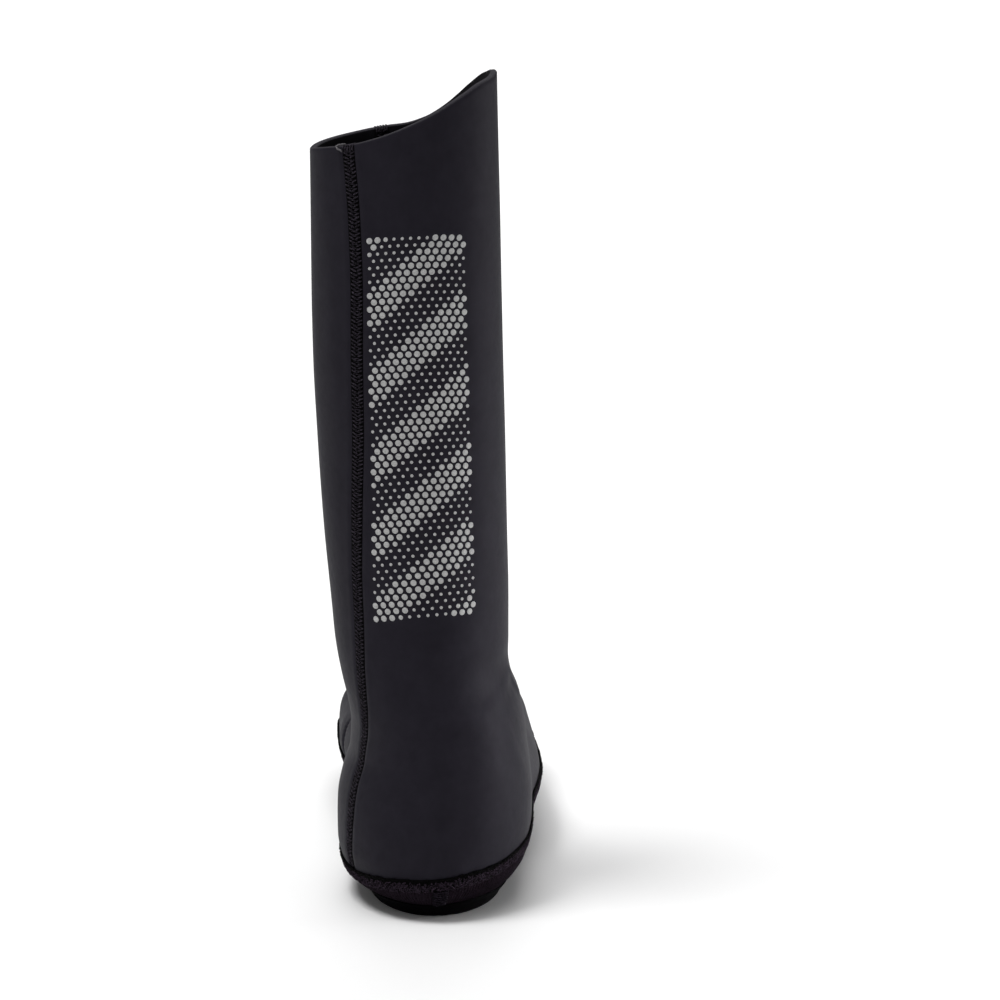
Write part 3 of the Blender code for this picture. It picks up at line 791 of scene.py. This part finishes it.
def build_seam(name, node, path, thread, shade_material):
    """A flat seam: a sheet of painted shade in the groove, with two rows of slanting stitches outside and
    inside.
    """
    rings = np.linspace(*SEAM_RINGS, SEAM_SAMPLES)
    length = length_along(upper_surface(rings, np.radians(path.read("turn", rings))))
    speeds = seam_speed(path, rings)

    def place(along, across, lift, inside=False):
        ring = np.interp(along, length, rings)
        turn = np.radians(path.read("turn", ring)) + across / np.interp(along, length, speeds)
        if inside:
            point, normal, _ = upper_frame(ring, turn)
            return point - normal * (WALL + lift)[..., None], -normal
        return skin_point(ring, turn, lift)

    # The sheet in the groove is near-black painted shade between the stitches
    shade_sheet_along = np.linspace(0.0, length[-1], SEAM_SHADE_ROWS)[:, None]
    shade_sheet_across = np.linspace(-1.0, 1.0, SEAM_SHADE_COLUMNS)[None, :] * (STITCH_HALF_WIDTH + SEAM_SHADE_OVERHANG)
    top, _ = place(shade_sheet_along, shade_sheet_across, SEAM_SHADE_TOP)
    under, _ = place(shade_sheet_along, shade_sheet_across[:, ::-1], SEAM_SHADE_UNDER)
    shade_sheet = np.concatenate((top, under), axis=1)
    parts = [(shade_sheet, capped_grids(*shade_sheet.shape[:2]), SHADE_NUMBER)]

    start = np.arange(STITCH_START, length[-1] - STITCH_PITCH, STITCH_PITCH)[:, None]
    t = np.linspace(0.0, 1.0, THREAD_POINTS)[None, :]
    plump = np.sin(math.pi * t)

    def add_stitches(kind, side, inside):
        along = start + (kind.along + kind.run * t) * STITCH_PITCH
        along = along + rng.normal(0.0, kind.uneven, start.shape)
        across = side * (kind.across + kind.width * t) * STITCH_HALF_WIDTH
        across = across + rng.normal(0.0, kind.uneven, start.shape)
        lift = kind.lift + kind.plump * plump
        if kind.lift_uneven > 0:
            lift = lift + rng.normal(0.0, kind.lift_uneven, start.shape)
        middle, normal = place(np.clip(along, 0.0, length[-1]), across, lift, inside)
        radius = STITCH_RADIUS * (kind.ends + kind.middle * plump)
        parts.append((*tubes(middle, normal, radius), THREAD_NUMBER))

    for inside in (False, True):
        add_stitches(STITCH_LEG, -1.0, inside)
        add_stitches(STITCH_LEG, 1.0, inside)
        add_stitches(STITCH_CROSSING, 1.0, inside)
    parts.append((*rim_threads(path), THREAD_NUMBER))
    make_piece(name, parts, (thread, shade_material), [node])


# The joint of upper and sole, as a strip that the bound edge lies on

joint_turn = turns(JOINT_SAMPLES)
joint_line = upper_surface(0.0, joint_turn)
joint_length = length_along(np.concatenate((joint_line, joint_line[:1])))
joint_heights = np.linspace(*JOINT_STRIP, JOINT_STRIP_ROWS)


def joint_row(height):
    """The strip at one height: on the upper above the joint, and on the side of the sole below it."""
    if height >= 0:
        return upper_surface(0.0, joint_turn, rise=height)
    return sole_wall(joint_line, plan_normals(joint_line), -height)


joint_grid = np.array([joint_row(height) for height in joint_heights])
joint_out = grid_normals(joint_grid)


def on_joint(along, height, lift):
    """Points over the joint by a length round it, a height from it and a lift, with outward normals."""
    along, height, lift = np.broadcast_arrays(along, height, lift)
    column = np.interp(along % joint_length[-1], joint_length, np.arange(JOINT_SAMPLES + 1))
    row = np.interp(height, joint_heights, np.arange(JOINT_STRIP_ROWS))
    c, r = np.floor(column).astype(int), np.minimum(np.floor(row).astype(int), JOINT_STRIP_ROWS - 2)
    s, t = (column - c)[..., None], (row - r)[..., None]
    c, c2 = c % JOINT_SAMPLES, (c + 1) % JOINT_SAMPLES

    def blend(grid):
        low = grid[r, c] * (1 - s) + grid[r, c2] * s
        high = grid[r + 1, c] * (1 - s) + grid[r + 1, c2] * s
        return low * (1 - t) + high * t

    normal = unit(blend(joint_out))
    return blend(joint_grid) + normal * lift[..., None], normal


# The bound edge and the tab

def over_band(share):
    """Lift of the threads over the band, by the share of its half height from the joint."""
    return BAND_FOOT + (THREADS_RISE + BAND_LEAN * share) * np.sqrt(np.clip(THREADS_FULL - share**2, 0, 1))


def binding_band():
    """The raised band under the threads of the bound edge, coloured near black as painted shade between them.
    """
    half = BAND_HALF_HEIGHT
    along = np.linspace(0.0, joint_length[-1], BAND_COLUMNS, endpoint=False)[None, :]
    height = np.linspace(-half, half, BAND_ROWS)[:, None]
    bulge = np.sqrt(np.clip(1 - (height / (half + BAND_SPREAD)) ** 2, 0, 1))
    outer, _ = on_joint(along, height, BAND_FOOT + (BAND_RISE + BAND_LEAN * height / half) * bulge)
    inner, _ = on_joint(along, height[::-1], BAND_UNDER)
    band = np.concatenate((outer, inner))
    return band, (grid_faces(len(band), BAND_COLUMNS, closed_rows=True),)


def binding_loops():
    """Tangled loops up and down the band."""
    shape = (LOOPS, 1)
    t = np.linspace(-1.0, 1.0, THREAD_POINTS)[None, :]
    start = np.arange(LOOPS)[:, None] * (joint_length[-1] / LOOPS) + rng.normal(0.0, LOOP_START_UNEVEN, shape)
    slant = rng.normal(0.0, LOOP_SLANT, shape) * t + rng.normal(0.0, LOOP_WAVER, (LOOPS, THREAD_POINTS))
    height = LOOP_MIDDLE + (BAND_HALF_HEIGHT - LOOP_MARGIN) * t
    height = height + rng.normal(0.0, LOOP_HEIGHT_UNEVEN, shape)
    lift = over_band(t) + rng.normal(*LOOP_LIFT, shape)
    return tubes(*on_joint(start + slant, height, lift), BAND_THREAD)


def binding_fibres():
    """Short fibres that lie every way on the band."""
    half = BAND_HALF_HEIGHT
    shape = (FIBRES, 1)
    t = np.linspace(-1.0, 1.0, FIBRE_POINTS)[None, :]
    angle = rng.uniform(0.0, math.pi, shape)
    reach = rng.uniform(*FIBRE_REACH, shape)
    middle = rng.uniform(FIBRE_MARGINS[0] - half, half - FIBRE_MARGINS[1], shape)
    height = np.clip(middle + reach * t * np.sin(angle), -half - BAND_SPREAD, half)
    lift = over_band(height / half) + FIBRE_LIFT - FIBRE_BEND * t**2 + rng.normal(0.0, FIBRE_UNEVEN, shape)
    start = rng.uniform(0.0, joint_length[-1], shape)
    return tubes(*on_joint(start + reach * t * np.cos(angle), height, lift), BAND_THREAD, FIBRE_SIDES)


def needle_stitches():
    """Needle stitches along the top of the band, coloured near black as painted shade along its top edge."""
    count = int(joint_length[-1] / NEEDLE_PITCH)
    t = np.linspace(0.0, 1.0, THREAD_POINTS)[None, :]
    start = np.arange(count)[:, None] * joint_length[-1] / count
    wave = NEEDLE_WAVE * np.sin(start / NEEDLE_WAVE_RUN) + rng.normal(0.0, NEEDLE_UNEVEN, (count, 1))
    height = BAND_HALF_HEIGHT - NEEDLE_BELOW_TOP + wave
    lift = NEEDLE_LIFT + NEEDLE_PLUMP * np.sin(math.pi * t)
    return tubes(*on_joint(start + NEEDLE_LENGTH * t, height, lift), NEEDLE_THICKNESS * BAND_THREAD)


def build_binding(thread, shade_material):
    """The overlocked edge: a raised band, tangled threads over it and needle stitches along its top; band and
    needle stitches are coloured near black as painted shade.
    """
    parts = [
        (*binding_band(), SHADE_NUMBER),
        (*binding_loops(), THREAD_NUMBER),
        (*binding_fibres(), THREAD_NUMBER),
        (*needle_stitches(), SHADE_NUMBER),
    ]
    make_piece("sole_binding_threads", parts, (thread, shade_material), ["sole_binding"])


def build_tab(thread, shade_material):
    """The small bar-tacked tab at the back of the heel, with ribs across it."""
    column = np.linspace(-1.0, 1.0, TAB_COLUMNS)[None, :]
    height = np.linspace(TAB_BOTTOM, TAB_TOP, TAB_ROWS)[:, None]
    from_middle = (2 * height - TAB_TOP - TAB_BOTTOM) / (TAB_TOP - TAB_BOTTOM)
    near_edge = np.maximum(np.abs(column), np.abs(from_middle)) ** TAB_SQUARENESS
    along = TAB_ALONG + TAB_HALF_WIDTH * column
    top, _ = on_joint(along, height, TAB_THICKNESS * (1.0 - TAB_EDGE_DROP * near_edge))
    under, _ = on_joint(along[:, ::-1], height, TAB_UNDER)
    shade_sheet = np.concatenate((top, under), axis=1)

    along = TAB_ALONG + (TAB_HALF_WIDTH - TAB_RIB_INSET) * column
    lowest, highest = TAB_BOTTOM + TAB_RIB_MARGINS[0], TAB_TOP - TAB_RIB_MARGINS[1]
    height = np.linspace(lowest, highest, TAB_RIBS)[:, None]
    sway = rng.normal(0.0, TAB_RIB_SWAY, (TAB_RIBS, TAB_COLUMNS))
    bulge = np.sqrt(np.clip(TAB_RIB_FULL - column**TAB_RIB_SQUARENESS, 0, 1))
    lift = TAB_RIB_LIFT + TAB_RIB_PLUMP * bulge
    ribs = tubes(*on_joint(along, height + sway, lift), TAB_RIB_RADIUS, ROUND_SIDES)
    # The tab's body takes the near-black painted shade that shows between its ribs
    parts = [(shade_sheet, capped_grids(*shade_sheet.shape[:2]), SHADE_NUMBER), (*ribs, THREAD_NUMBER)]
    make_piece("heel_tab", parts, (thread, shade_material))


# The print

def build_print(ink):
    """The reflective panel: rows of raised dots, whose sizes draw plain slanting bands."""
    row, column = np.meshgrid(np.arange(PRINT_ROWS), np.arange(PRINT_COLUMNS), indexing="ij")
    row, column = row.reshape(-1, 1), column.reshape(-1, 1)
    share = (column + 0.5 * (row % 2)) / (PRINT_COLUMNS - 0.5)
    lowest, highest = PRINT_PANEL.rows[0, 0], PRINT_PANEL.rows[-1, 0]
    height = lowest + (highest - lowest) * row / (PRINT_ROWS - 1)
    inner, outer, rise = PRINT_PANEL.read_all(height)
    turn = np.radians(inner + (outer - inner) * share)
    from_middle = 2 * share - 1
    height = height + rise * from_middle / 2 + PRINT_BOW * (1 - from_middle**2)
    ring = rings_at(height)
    for _ in range(PRINT_SEARCH_STEPS):
        ring = ring + (height - upper_surface(ring, turn)[..., 2]) / PRINT_MM_PER_RING
    wave = np.cos(2 * math.pi * (PRINT_BANDS * row / PRINT_ROWS - share))
    radius = PRINT_SMALL_DOT + (PRINT_FULL_DOT - PRINT_SMALL_DOT) * smoothstep(wave, *PRINT_BAND_EDGE)

    here = upper_surface(ring, turn)
    per_turn = lengths(upper_surface(ring, turn + FINE_STEP) - here) / FINE_STEP
    per_ring = lengths(upper_surface(ring + FINE_STEP, turn) - here) / FINE_STEP
    angle = turns(PRINT_DOT_SIDES)[None, :]
    rows = []
    for reach, lift in PRINT_DOT_SECTION:
        dot_turn = turn + radius * reach * np.cos(angle) / per_turn
        dot_ring = ring + radius * reach * np.sin(angle) / per_ring
        rows.append(skin_point(dot_ring, dot_turn, lift * PRINT_HEIGHT)[0])
    faces = capped_grids(len(rows), PRINT_DOT_SIDES, len(ring))
    parts = [(np.stack(rows, axis=1), faces, ONLY_NUMBER)]
    make_piece("printed_dots", parts, (ink,))


# The sole and the heel pad

def cleat_edge(direction):
    """Where rays in these directions from the middle of the cleat opening meet its edge, in plan."""
    inner = np.array((CLEAT_WIDTH, CLEAT_LENGTH)) / 2 - CLEAT_CORNER
    near, far = np.zeros(len(direction)), np.full(len(direction), CLEAT_LENGTH)
    for _ in range(SEARCH_STEPS):
        reach = (near + far) / 2
        away = np.abs(direction * reach[:, None]) - inner
        outside = lengths(np.maximum(away, 0.0)) > CLEAT_CORNER
        near, far = np.where(outside, near, reach), np.where(outside, reach, far)
    return direction * near[:, None] + CLEAT_MIDDLE


def sole_rows(turn):
    """Rows of points on the outside of the sole, from the cleat opening out and up its side."""
    edge, leaning, _ = upper_frame(0.0, turn)
    edge[:, 2] -= GAP + WALL * np.maximum(leaning[:, 2], 0.0)
    normal = plan_normals(edge)
    floor = FLOOR.read("height", edge[:, 1])
    side_rows = []
    for share in SOLE_SIDE_SHARES:
        row = edge - normal * bilge_inset(share)
        row[:, 2] = floor + (edge[:, 2] - floor) * share
        side_rows.append(row)
    flat_edge = side_rows[0]
    flat_edge[:, 2] = FLOOR.read("height", flat_edge[:, 1])
    opening = cleat_edge(unit(flat_edge[:, :2] - CLEAT_MIDDLE))
    flat_rows = []
    for share in SOLE_FLAT_SHARES:
        plan = opening + (flat_edge[:, :2] - opening) * share
        flat_rows.append(np.column_stack((plan, FLOOR.read("height", plan[:, 1]))))
    return np.array(flat_rows + side_rows)


def build_sole(textile):
    """The textile sole: a tray with upright ribs round its side, and the opening for the cleat."""
    rows = sole_rows(turns(SOLE_COLUMNS))
    out = grid_normals(rows)
    length = length_along(np.concatenate((rows[-1], rows[-1, :1])))
    rib_phase = length[1:] / length[-1] * 2 * math.pi * SOLE_RIBS
    share = np.concatenate((np.zeros(len(SOLE_FLAT_SHARES)), SOLE_SIDE_SHARES))
    depth = SOLE_RIB_HEIGHT * smoothstep(share, *SOLE_RIBS_START) * (1 - smoothstep(share, *SOLE_RIBS_END))
    ribbed = rows + out * (depth[:, None] * np.cos(rib_phase)[None, :])[..., None]
    inner = (rows - out * SOLE_THICKNESS)[::SOLE_INNER_STEP]
    shell = np.concatenate((ribbed, inner[::-1]))
    faces = grid_faces(len(shell), SOLE_COLUMNS, closed_rows=True)
    make_piece("sole_textile", [(shell, (faces,), ONLY_NUMBER)], (textile,), ["sole"])


def pad_outline():
    """The heel pad's edge: half an ellipse round the back, then a straight front with round corners."""
    half, corner = HEEL_PAD_HALF_WIDTH, HEEL_PAD_CORNER
    angle = np.linspace(math.pi, 2 * math.pi, PAD_BACK_COLUMNS)
    back = np.column_stack((half * np.cos(angle), np.sin(angle) * (HEEL_PAD_WIDEST - HEEL_PAD_BACK)))
    parts = [back + (HEEL_PAD_MIDDLE, HEEL_PAD_WIDEST)]
    for side, start in ((1, 0.0), (-1, math.pi / 2)):
        angle = start + np.linspace(0.0, math.pi / 2, PAD_CORNER_COLUMNS)
        arc = corner * np.column_stack((np.cos(angle), np.sin(angle)))
        parts.append(arc + (HEEL_PAD_MIDDLE + side * (half - corner), HEEL_PAD_FRONT - corner))
    plan = np.concatenate(parts)
    return np.column_stack((plan, np.zeros(len(plan))))


def sole_height(points):
    """Height of the sole's outside over these points, by their distance from the joint in plan."""
    away = lengths(points[:, None, :2] - joint_line[None, :, :2])
    edge = joint_line[away.argmin(axis=1), 2] - GAP
    floor = FLOOR.read("height", points[:, 1])
    share = np.interp(away.min(axis=1), BILGE.rows[:, 0], BILGE.rows[:, 1])
    return floor + share * (edge - floor)


def build_pad(rubber):
    """The rubber heel pad: a rounded lower edge, and a lip that turns up along the sides of the sole."""
    outline = pad_outline()
    normal = plan_normals(outline)
    rows = []
    for angle in np.radians(PAD_EDGE_DEGREES):
        row = outline - normal * HEEL_PAD_ROUNDING * (1 - math.sin(angle))
        row[:, 2] = HEEL_PAD_ROUNDING * (1 - math.cos(angle))
        rows.append(row)
    reach = PAD_LIP * (PAD_LIP_AT_BACK + (1 - PAD_LIP_AT_BACK) * normal[:, :1] ** 2)
    for share, below in PAD_LIP_SECTION:
        row = outline + normal * reach * share
        row[:, 2] = sole_height(row) - below
        rows.append(row)
    top = outline - normal * PAD_TOP_INSET
    top[:, 2] = sole_height(top) - PAD_LIP_SECTION[-1][1]
    rows.append(top)
    parts = [(np.array(rows), capped_grids(len(rows), len(outline)), ONLY_NUMBER)]
    make_piece("heel_pad_moulded", parts, (rubber,), ["heel_pad"])


# Materials: sizes and depths in millimetres

def set_inputs(node, values):
    """Values of a node's sockets by name, with underscores for spaces."""
    for socket, value in values.items():
        node.inputs[socket.replace("_", " ")].default_value = value


class Nodes:
    """A new procedural material, with short ways to add its nodes."""

    def __init__(self, name, **sockets):
        self.material = bpy.data.materials.new(name)
        self.material.use_nodes = True
        self.tree = self.material.node_tree
        self.shader = self.tree.nodes["Principled BSDF"]
        set_inputs(self.shader, sockets)
        self.place = self.tree.nodes.new("ShaderNodeTexCoord").outputs["Object"]

    def add(self, kind, **values):
        node = self.tree.nodes.new(kind)
        set_inputs(node, values)
        return node

    def link(self, source, target):
        self.tree.links.new(source, target)

    def noise(self, size, detail, roughness=0.5):
        """Noise whose grains have this size."""
        node = self.add("ShaderNodeTexNoise", Scale=1.0 / (size * MM), Detail=detail, Roughness=roughness)
        self.link(self.place, node.inputs["Vector"])
        return node.outputs["Fac"]

    def colours(self, noise, dark, light, ends=RAMP_ENDS):
        """Colours from dark to light over a noise, between two of its values."""
        node = self.add("ShaderNodeValToRGB")
        for element, position, colour in zip(node.color_ramp.elements, ends, (dark, light)):
            element.position = position
            element.color = (*colour, 1.0)
        self.link(noise, node.inputs["Fac"])
        self.link(node.outputs["Color"], self.shader.inputs["Base Color"])

    def rough(self, noise, low, high):
        """Roughness from low to high over a noise."""
        node = self.add("ShaderNodeMapRange", To_Min=low, To_Max=high)
        self.link(noise, node.inputs["Value"])
        self.link(node.outputs["Result"], self.shader.inputs["Roughness"])

    def bump(self, noise, depth, under=None):
        """Bumps of this depth over a noise, on top of an earlier bump."""
        node = self.add("ShaderNodeBump", Strength=1.0, Distance=depth * MM)
        self.link(noise, node.inputs["Height"])
        if under is not None:
            self.link(under, node.inputs["Normal"])
        self.link(node.outputs["Normal"], self.shader.inputs["Normal"])
        return node.outputs["Normal"]


def neoprene_material():
    """Smooth-skin neoprene: satin, nearly black, with a fine pebble and faint wide cloudiness."""
    made = Nodes("smooth_skin_neoprene", Specular_IOR_Level=0.06, Specular_Tint=(0.87, 0.81, 1.0, 1.0))
    clouds = made.noise(size=9.0, detail=4.0, roughness=0.6)
    made.colours(clouds, dark=(0.0128, 0.0116, 0.0161), light=(0.0163, 0.0149, 0.0204))
    made.rough(made.noise(size=2.5, detail=3.0), low=0.5, high=0.62)
    fine = made.bump(made.noise(size=0.45, detail=2.0), depth=0.03)
    made.bump(made.noise(size=5.0, detail=2.0), depth=0.12, under=fine)
    return made.material


def grained_material(look, ends=RAMP_ENDS, **sockets):
    """A grained material, with values for more of the shader's sockets."""
    made = Nodes(look.name, Roughness=look.roughness, Specular_IOR_Level=look.shine, **sockets)
    made.colours(made.noise(*look.noise), look.dark, look.light, ends)
    size, detail, depth = look.bump
    made.bump(made.noise(size, detail), depth)
    return made.material


def thread_material(name, dark, light, shine):
    """Spun thread: dull, with fibres of slightly different colours."""
    look = Look(name, THREAD_NOISE, THREAD_BUMP, dark, light, THREAD_ROUGHNESS, shine)
    return grained_material(look, THREAD_RAMP_ENDS)


def floor_material():
    """Pale floor with faint wide cloudiness."""
    made = Nodes("pale_floor", Roughness=0.9, Specular_IOR_Level=0.1)
    clouds = made.noise(size=400.0, detail=2.0)
    made.colours(clouds, dark=(0.86, 0.86, 0.86), light=(0.88, 0.88, 0.88))
    return made.material


# Stage, light and camera

def facing(direction):
    """Rotation of a light or camera that looks in this direction."""
    return direction.to_track_quat("-Z", "Y").to_euler()


def add_floor():
    bpy.ops.mesh.primitive_plane_add(size=FLOOR_SIDE)
    floor = bpy.context.object
    floor.name = "floor"
    floor.data.materials.append(floor_material())


def add_light(row):
    data = bpy.data.lights.new(row.name, "AREA")
    data.shape = "RECTANGLE"
    data.size = row.width
    data.size_y = row.height
    data.energy = row.power
    data.spread = math.radians(row.spread)
    light = bpy.data.objects.new(row.name, data)
    light.location = row.place
    light.rotation_euler = facing(Vector(row.target) - Vector(row.place))
    bpy.context.scene.collection.objects.link(light)


def add_camera():
    data = bpy.data.cameras.new("camera")
    data.sensor_width = SENSOR
    data.lens = FOCAL_PIXELS / IMAGE_PIXELS * SENSOR
    data.clip_start, data.clip_end = CAMERA_CLIP
    camera = bpy.data.objects.new("camera", data)
    elevation = math.radians(CAMERA_ELEVATION)
    back = Vector((0.0, -math.cos(elevation), math.sin(elevation)))
    target = Vector((origin + CAMERA_TARGET) * MM)
    camera.location = target + back * CAMERA_DISTANCE * MM
    camera.rotation_euler = facing(-back)
    bpy.context.scene.collection.objects.link(camera)
    bpy.context.scene.camera = camera


def add_world():
    world = bpy.data.worlds.new("studio")
    world.use_nodes = True
    background = world.node_tree.nodes["Background"]
    background.inputs["Color"].default_value = (1.0, 1.0, 1.0, 1.0)
    background.inputs["Strength"].default_value = WORLD_STRENGTH
    bpy.context.scene.world = world


thread_dark = thread_material("black_thread", (0.0016, 0.0013, 0.002), (0.066, 0.055, 0.076), 0.12)
# Near-black painted shade: the sheet in the seams' grooves, the bound edge's band and needle stitches, and
# the tab's body
thread_shade_paint = thread_material("thread_shadow", (0.0004, 0.0003, 0.0004), (0.0012, 0.001, 0.0013), 0.04)
thread_edge = thread_material("edge_thread", (0.0006, 0.0004, 0.0006), (0.072, 0.05, 0.076), 0.05)
thread_tab = thread_material("tab_thread", (0.0006, 0.0004, 0.0006), (0.032, 0.024, 0.038), 0.05)
thread_light = thread_material("cut_thread_end", (0.04, 0.037, 0.042), (0.2, 0.19, 0.2), 0.3)

lining = grained_material(KNIT, Sheen_Weight=0.02, Sheen_Roughness=0.6)
build_upper(neoprene_material(), grained_material(CUT_FOAM), lining)
build_seam("rear_seam_stitches", "rear_seam", REAR_SEAM, thread_dark, thread_shade_paint)
build_seam("front_seam_stitches", "front_seam", FRONT_SEAM, thread_dark, thread_shade_paint)
build_thread_end(REAR_SEAM, thread_light)
build_binding(thread_edge, thread_shade_paint)
build_tab(thread_tab, thread_shade_paint)
build_print(grained_material(INK))
build_sole(grained_material(TEXTILE))
build_pad(grained_material(RUBBER))

add_floor()
add_world()
for light_row in LIGHTS:
    add_light(light_row)
add_camera()
bpy.context.scene.view_settings.view_transform = "Standard"
